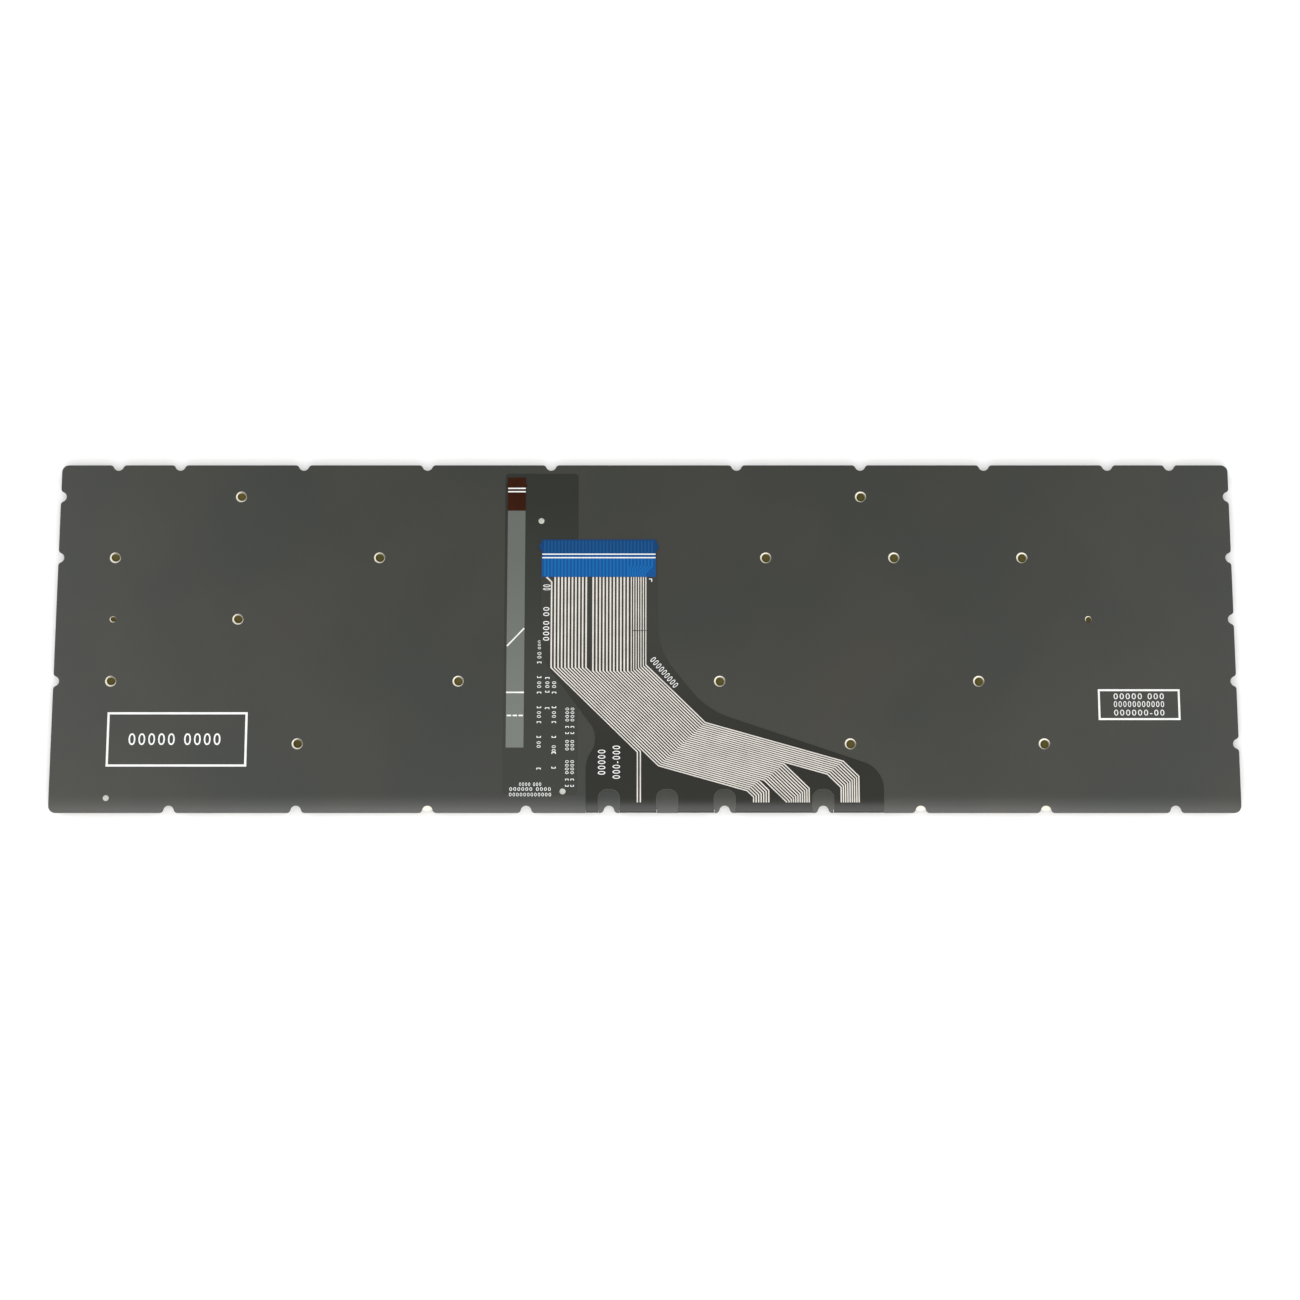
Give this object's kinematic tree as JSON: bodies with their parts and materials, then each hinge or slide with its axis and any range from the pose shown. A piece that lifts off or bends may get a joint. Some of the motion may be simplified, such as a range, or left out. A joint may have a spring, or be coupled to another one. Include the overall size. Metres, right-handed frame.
{
  "type": "laptop keyboard",
  "caption": "Thin backlit laptop keyboard lying on its keys: notched dark film over a steel plate, printed tail folded round the front edge, light strip and sprung keys.",
  "frame": {"origin": "centre of the keyboard's outline, on the plane of the keycap tops that it lies on", "axes": "+Z out of the back of the keyboard, +Y towards the function row, +X towards the left-hand keys"},
  "size_m": [0.3396, 0.1032, 0.0054],
  "materials": {
    "back_film": "satin dark grey printed film",
    "plate_steel": "plain zinc-plated sheet",
    "membrane_film": "dark glossy film",
    "tail_stiffener": "blue film",
    "light_strip": "dark flexible board",
    "light_tail": "grey film",
    "light_tail_tip": "brown polyimide film",
    "light_guide": "clear sheet",
    "reflector_film": "white film",
    "light_diodes": "white body with yellow phosphor",
    "keycap": "black fine matt",
    "dome_rubber": "translucent silicone",
    "scissor_plastic": "natural plastic"
  },
  "bodies": {
    "base": {"back_film": "back_film", "function_and_number_keys": "keycap", "light_diodes": "light_diodes", "light_guide": "light_guide", "light_strip": "light_strip", "light_tail": "light_tail", "light_tail_tip": "light_tail_tip", "membrane": "membrane_film", "number_pad_and_arrow_keys": "keycap", "reflector_film": "reflector_film", "rubber_domes": "dome_rubber", "scissor_links": "scissor_plastic", "support_plate": "plate_steel", "tail_stiffener": "tail_stiffener"},
    "key_a": {"key_a": "keycap"},
    "key_b": {"key_b": "keycap"},
    "key_backslash": {"key_backslash": "keycap"},
    "key_c": {"key_c": "keycap"},
    "key_caps_lock": {"key_caps_lock": "keycap"},
    "key_comma": {"key_comma": "keycap"},
    "key_d": {"key_d": "keycap"},
    "key_e": {"key_e": "keycap"},
    "key_enter": {"key_enter": "keycap"},
    "key_f": {"key_f": "keycap"},
    "key_function": {"key_function": "keycap"},
    "key_g": {"key_g": "keycap"},
    "key_h": {"key_h": "keycap"},
    "key_i": {"key_i": "keycap"},
    "key_j": {"key_j": "keycap"},
    "key_k": {"key_k": "keycap"},
    "key_l": {"key_l": "keycap"},
    "key_left_alt": {"key_left_alt": "keycap"},
    "key_left_bracket": {"key_left_bracket": "keycap"},
    "key_left_control": {"key_left_control": "keycap"},
    "key_left_shift": {"key_left_shift": "keycap"},
    "key_m": {"key_m": "keycap"},
    "key_menu": {"key_menu": "keycap"},
    "key_n": {"key_n": "keycap"},
    "key_o": {"key_o": "keycap"},
    "key_p": {"key_p": "keycap"},
    "key_period": {"key_period": "keycap"},
    "key_q": {"key_q": "keycap"},
    "key_quote": {"key_quote": "keycap"},
    "key_r": {"key_r": "keycap"},
    "key_right_alt": {"key_right_alt": "keycap"},
    "key_right_bracket": {"key_right_bracket": "keycap"},
    "key_right_control": {"key_right_control": "keycap"},
    "key_right_shift": {"key_right_shift": "keycap"},
    "key_s": {"key_s": "keycap"},
    "key_semicolon": {"key_semicolon": "keycap"},
    "key_slash": {"key_slash": "keycap"},
    "key_space": {"key_space": "keycap"},
    "key_t": {"key_t": "keycap"},
    "key_tab": {"key_tab": "keycap"},
    "key_u": {"key_u": "keycap"},
    "key_v": {"key_v": "keycap"},
    "key_w": {"key_w": "keycap"},
    "key_x": {"key_x": "keycap"},
    "key_y": {"key_y": "keycap"},
    "key_z": {"key_z": "keycap"}
  },
  "joints": [
    {"name": "key_a_travel", "type": "slide", "parent": "base", "child": "key_a", "axis": [0, 0, 1], "range_m": [0, 0.0015], "stiffness_N_per_m": 400, "deforming": ["rubber_domes", "scissor_links"]},
    {"name": "key_b_travel", "type": "slide", "parent": "base", "child": "key_b", "axis": [0, 0, 1], "range_m": [0, 0.0015], "stiffness_N_per_m": 400, "deforming": ["rubber_domes", "scissor_links"]},
    {"name": "key_backslash_travel", "type": "slide", "parent": "base", "child": "key_backslash", "axis": [0, 0, 1], "range_m": [0, 0.0015], "stiffness_N_per_m": 400, "deforming": ["rubber_domes", "scissor_links"]},
    {"name": "key_c_travel", "type": "slide", "parent": "base", "child": "key_c", "axis": [0, 0, 1], "range_m": [0, 0.0015], "stiffness_N_per_m": 400, "deforming": ["rubber_domes", "scissor_links"]},
    {"name": "key_caps_lock_travel", "type": "slide", "parent": "base", "child": "key_caps_lock", "axis": [0, 0, 1], "range_m": [0, 0.0015], "stiffness_N_per_m": 400, "deforming": ["rubber_domes", "scissor_links"]},
    {"name": "key_comma_travel", "type": "slide", "parent": "base", "child": "key_comma", "axis": [0, 0, 1], "range_m": [0, 0.0015], "stiffness_N_per_m": 400, "deforming": ["rubber_domes", "scissor_links"]},
    {"name": "key_d_travel", "type": "slide", "parent": "base", "child": "key_d", "axis": [0, 0, 1], "range_m": [0, 0.0015], "stiffness_N_per_m": 400, "deforming": ["rubber_domes", "scissor_links"]},
    {"name": "key_e_travel", "type": "slide", "parent": "base", "child": "key_e", "axis": [0, 0, 1], "range_m": [0, 0.0015], "stiffness_N_per_m": 400, "deforming": ["rubber_domes", "scissor_links"]},
    {"name": "key_enter_travel", "type": "slide", "parent": "base", "child": "key_enter", "axis": [0, 0, 1], "range_m": [0, 0.0015], "stiffness_N_per_m": 400, "deforming": ["rubber_domes", "scissor_links"]},
    {"name": "key_f_travel", "type": "slide", "parent": "base", "child": "key_f", "axis": [0, 0, 1], "range_m": [0, 0.0015], "stiffness_N_per_m": 400, "deforming": ["rubber_domes", "scissor_links"]},
    {"name": "key_function_travel", "type": "slide", "parent": "base", "child": "key_function", "axis": [0, 0, 1], "range_m": [0, 0.0015], "stiffness_N_per_m": 400, "deforming": ["rubber_domes", "scissor_links"]},
    {"name": "key_g_travel", "type": "slide", "parent": "base", "child": "key_g", "axis": [0, 0, 1], "range_m": [0, 0.0015], "stiffness_N_per_m": 400, "deforming": ["rubber_domes", "scissor_links"]},
    {"name": "key_h_travel", "type": "slide", "parent": "base", "child": "key_h", "axis": [0, 0, 1], "range_m": [0, 0.0015], "stiffness_N_per_m": 400, "deforming": ["rubber_domes", "scissor_links"]},
    {"name": "key_i_travel", "type": "slide", "parent": "base", "child": "key_i", "axis": [0, 0, 1], "range_m": [0, 0.0015], "stiffness_N_per_m": 400, "deforming": ["rubber_domes", "scissor_links"]},
    {"name": "key_j_travel", "type": "slide", "parent": "base", "child": "key_j", "axis": [0, 0, 1], "range_m": [0, 0.0015], "stiffness_N_per_m": 400, "deforming": ["rubber_domes", "scissor_links"]},
    {"name": "key_k_travel", "type": "slide", "parent": "base", "child": "key_k", "axis": [0, 0, 1], "range_m": [0, 0.0015], "stiffness_N_per_m": 400, "deforming": ["rubber_domes", "scissor_links"]},
    {"name": "key_l_travel", "type": "slide", "parent": "base", "child": "key_l", "axis": [0, 0, 1], "range_m": [0, 0.0015], "stiffness_N_per_m": 400, "deforming": ["rubber_domes", "scissor_links"]},
    {"name": "key_left_alt_travel", "type": "slide", "parent": "base", "child": "key_left_alt", "axis": [0, 0, 1], "range_m": [0, 0.0015], "stiffness_N_per_m": 400, "deforming": ["rubber_domes", "scissor_links"]},
    {"name": "key_left_bracket_travel", "type": "slide", "parent": "base", "child": "key_left_bracket", "axis": [0, 0, 1], "range_m": [0, 0.0015], "stiffness_N_per_m": 400, "deforming": ["rubber_domes", "scissor_links"]},
    {"name": "key_left_control_travel", "type": "slide", "parent": "base", "child": "key_left_control", "axis": [0, 0, 1], "range_m": [0, 0.0015], "stiffness_N_per_m": 400, "deforming": ["rubber_domes", "scissor_links"]},
    {"name": "key_left_shift_travel", "type": "slide", "parent": "base", "child": "key_left_shift", "axis": [0, 0, 1], "range_m": [0, 0.0015], "stiffness_N_per_m": 400, "deforming": ["rubber_domes", "scissor_links"]},
    {"name": "key_m_travel", "type": "slide", "parent": "base", "child": "key_m", "axis": [0, 0, 1], "range_m": [0, 0.0015], "stiffness_N_per_m": 400, "deforming": ["rubber_domes", "scissor_links"]},
    {"name": "key_menu_travel", "type": "slide", "parent": "base", "child": "key_menu", "axis": [0, 0, 1], "range_m": [0, 0.0015], "stiffness_N_per_m": 400, "deforming": ["rubber_domes", "scissor_links"]},
    {"name": "key_n_travel", "type": "slide", "parent": "base", "child": "key_n", "axis": [0, 0, 1], "range_m": [0, 0.0015], "stiffness_N_per_m": 400, "deforming": ["rubber_domes", "scissor_links"]},
    {"name": "key_o_travel", "type": "slide", "parent": "base", "child": "key_o", "axis": [0, 0, 1], "range_m": [0, 0.0015], "stiffness_N_per_m": 400, "deforming": ["rubber_domes", "scissor_links"]},
    {"name": "key_p_travel", "type": "slide", "parent": "base", "child": "key_p", "axis": [0, 0, 1], "range_m": [0, 0.0015], "stiffness_N_per_m": 400, "deforming": ["rubber_domes", "scissor_links"]},
    {"name": "key_period_travel", "type": "slide", "parent": "base", "child": "key_period", "axis": [0, 0, 1], "range_m": [0, 0.0015], "stiffness_N_per_m": 400, "deforming": ["rubber_domes", "scissor_links"]},
    {"name": "key_q_travel", "type": "slide", "parent": "base", "child": "key_q", "axis": [0, 0, 1], "range_m": [0, 0.0015], "stiffness_N_per_m": 400, "deforming": ["rubber_domes", "scissor_links"]},
    {"name": "key_quote_travel", "type": "slide", "parent": "base", "child": "key_quote", "axis": [0, 0, 1], "range_m": [0, 0.0015], "stiffness_N_per_m": 400, "deforming": ["rubber_domes", "scissor_links"]},
    {"name": "key_r_travel", "type": "slide", "parent": "base", "child": "key_r", "axis": [0, 0, 1], "range_m": [0, 0.0015], "stiffness_N_per_m": 400, "deforming": ["rubber_domes", "scissor_links"]},
    {"name": "key_right_alt_travel", "type": "slide", "parent": "base", "child": "key_right_alt", "axis": [0, 0, 1], "range_m": [0, 0.0015], "stiffness_N_per_m": 400, "deforming": ["rubber_domes", "scissor_links"]},
    {"name": "key_right_bracket_travel", "type": "slide", "parent": "base", "child": "key_right_bracket", "axis": [0, 0, 1], "range_m": [0, 0.0015], "stiffness_N_per_m": 400, "deforming": ["rubber_domes", "scissor_links"]},
    {"name": "key_right_control_travel", "type": "slide", "parent": "base", "child": "key_right_control", "axis": [0, 0, 1], "range_m": [0, 0.0015], "stiffness_N_per_m": 400, "deforming": ["rubber_domes", "scissor_links"]},
    {"name": "key_right_shift_travel", "type": "slide", "parent": "base", "child": "key_right_shift", "axis": [0, 0, 1], "range_m": [0, 0.0015], "stiffness_N_per_m": 400, "deforming": ["rubber_domes", "scissor_links"]},
    {"name": "key_s_travel", "type": "slide", "parent": "base", "child": "key_s", "axis": [0, 0, 1], "range_m": [0, 0.0015], "stiffness_N_per_m": 400, "deforming": ["rubber_domes", "scissor_links"]},
    {"name": "key_semicolon_travel", "type": "slide", "parent": "base", "child": "key_semicolon", "axis": [0, 0, 1], "range_m": [0, 0.0015], "stiffness_N_per_m": 400, "deforming": ["rubber_domes", "scissor_links"]},
    {"name": "key_slash_travel", "type": "slide", "parent": "base", "child": "key_slash", "axis": [0, 0, 1], "range_m": [0, 0.0015], "stiffness_N_per_m": 400, "deforming": ["rubber_domes", "scissor_links"]},
    {"name": "key_space_travel", "type": "slide", "parent": "base", "child": "key_space", "axis": [0, 0, 1], "range_m": [0, 0.0015], "stiffness_N_per_m": 400, "deforming": ["rubber_domes", "scissor_links"]},
    {"name": "key_t_travel", "type": "slide", "parent": "base", "child": "key_t", "axis": [0, 0, 1], "range_m": [0, 0.0015], "stiffness_N_per_m": 400, "deforming": ["rubber_domes", "scissor_links"]},
    {"name": "key_tab_travel", "type": "slide", "parent": "base", "child": "key_tab", "axis": [0, 0, 1], "range_m": [0, 0.0015], "stiffness_N_per_m": 400, "deforming": ["rubber_domes", "scissor_links"]},
    {"name": "key_u_travel", "type": "slide", "parent": "base", "child": "key_u", "axis": [0, 0, 1], "range_m": [0, 0.0015], "stiffness_N_per_m": 400, "deforming": ["rubber_domes", "scissor_links"]},
    {"name": "key_v_travel", "type": "slide", "parent": "base", "child": "key_v", "axis": [0, 0, 1], "range_m": [0, 0.0015], "stiffness_N_per_m": 400, "deforming": ["rubber_domes", "scissor_links"]},
    {"name": "key_w_travel", "type": "slide", "parent": "base", "child": "key_w", "axis": [0, 0, 1], "range_m": [0, 0.0015], "stiffness_N_per_m": 400, "deforming": ["rubber_domes", "scissor_links"]},
    {"name": "key_x_travel", "type": "slide", "parent": "base", "child": "key_x", "axis": [0, 0, 1], "range_m": [0, 0.0015], "stiffness_N_per_m": 400, "deforming": ["rubber_domes", "scissor_links"]},
    {"name": "key_y_travel", "type": "slide", "parent": "base", "child": "key_y", "axis": [0, 0, 1], "range_m": [0, 0.0015], "stiffness_N_per_m": 400, "deforming": ["rubber_domes", "scissor_links"]},
    {"name": "key_z_travel", "type": "slide", "parent": "base", "child": "key_z", "axis": [0, 0, 1], "range_m": [0, 0.0015], "stiffness_N_per_m": 400, "deforming": ["rubber_domes", "scissor_links"]}
  ]
}
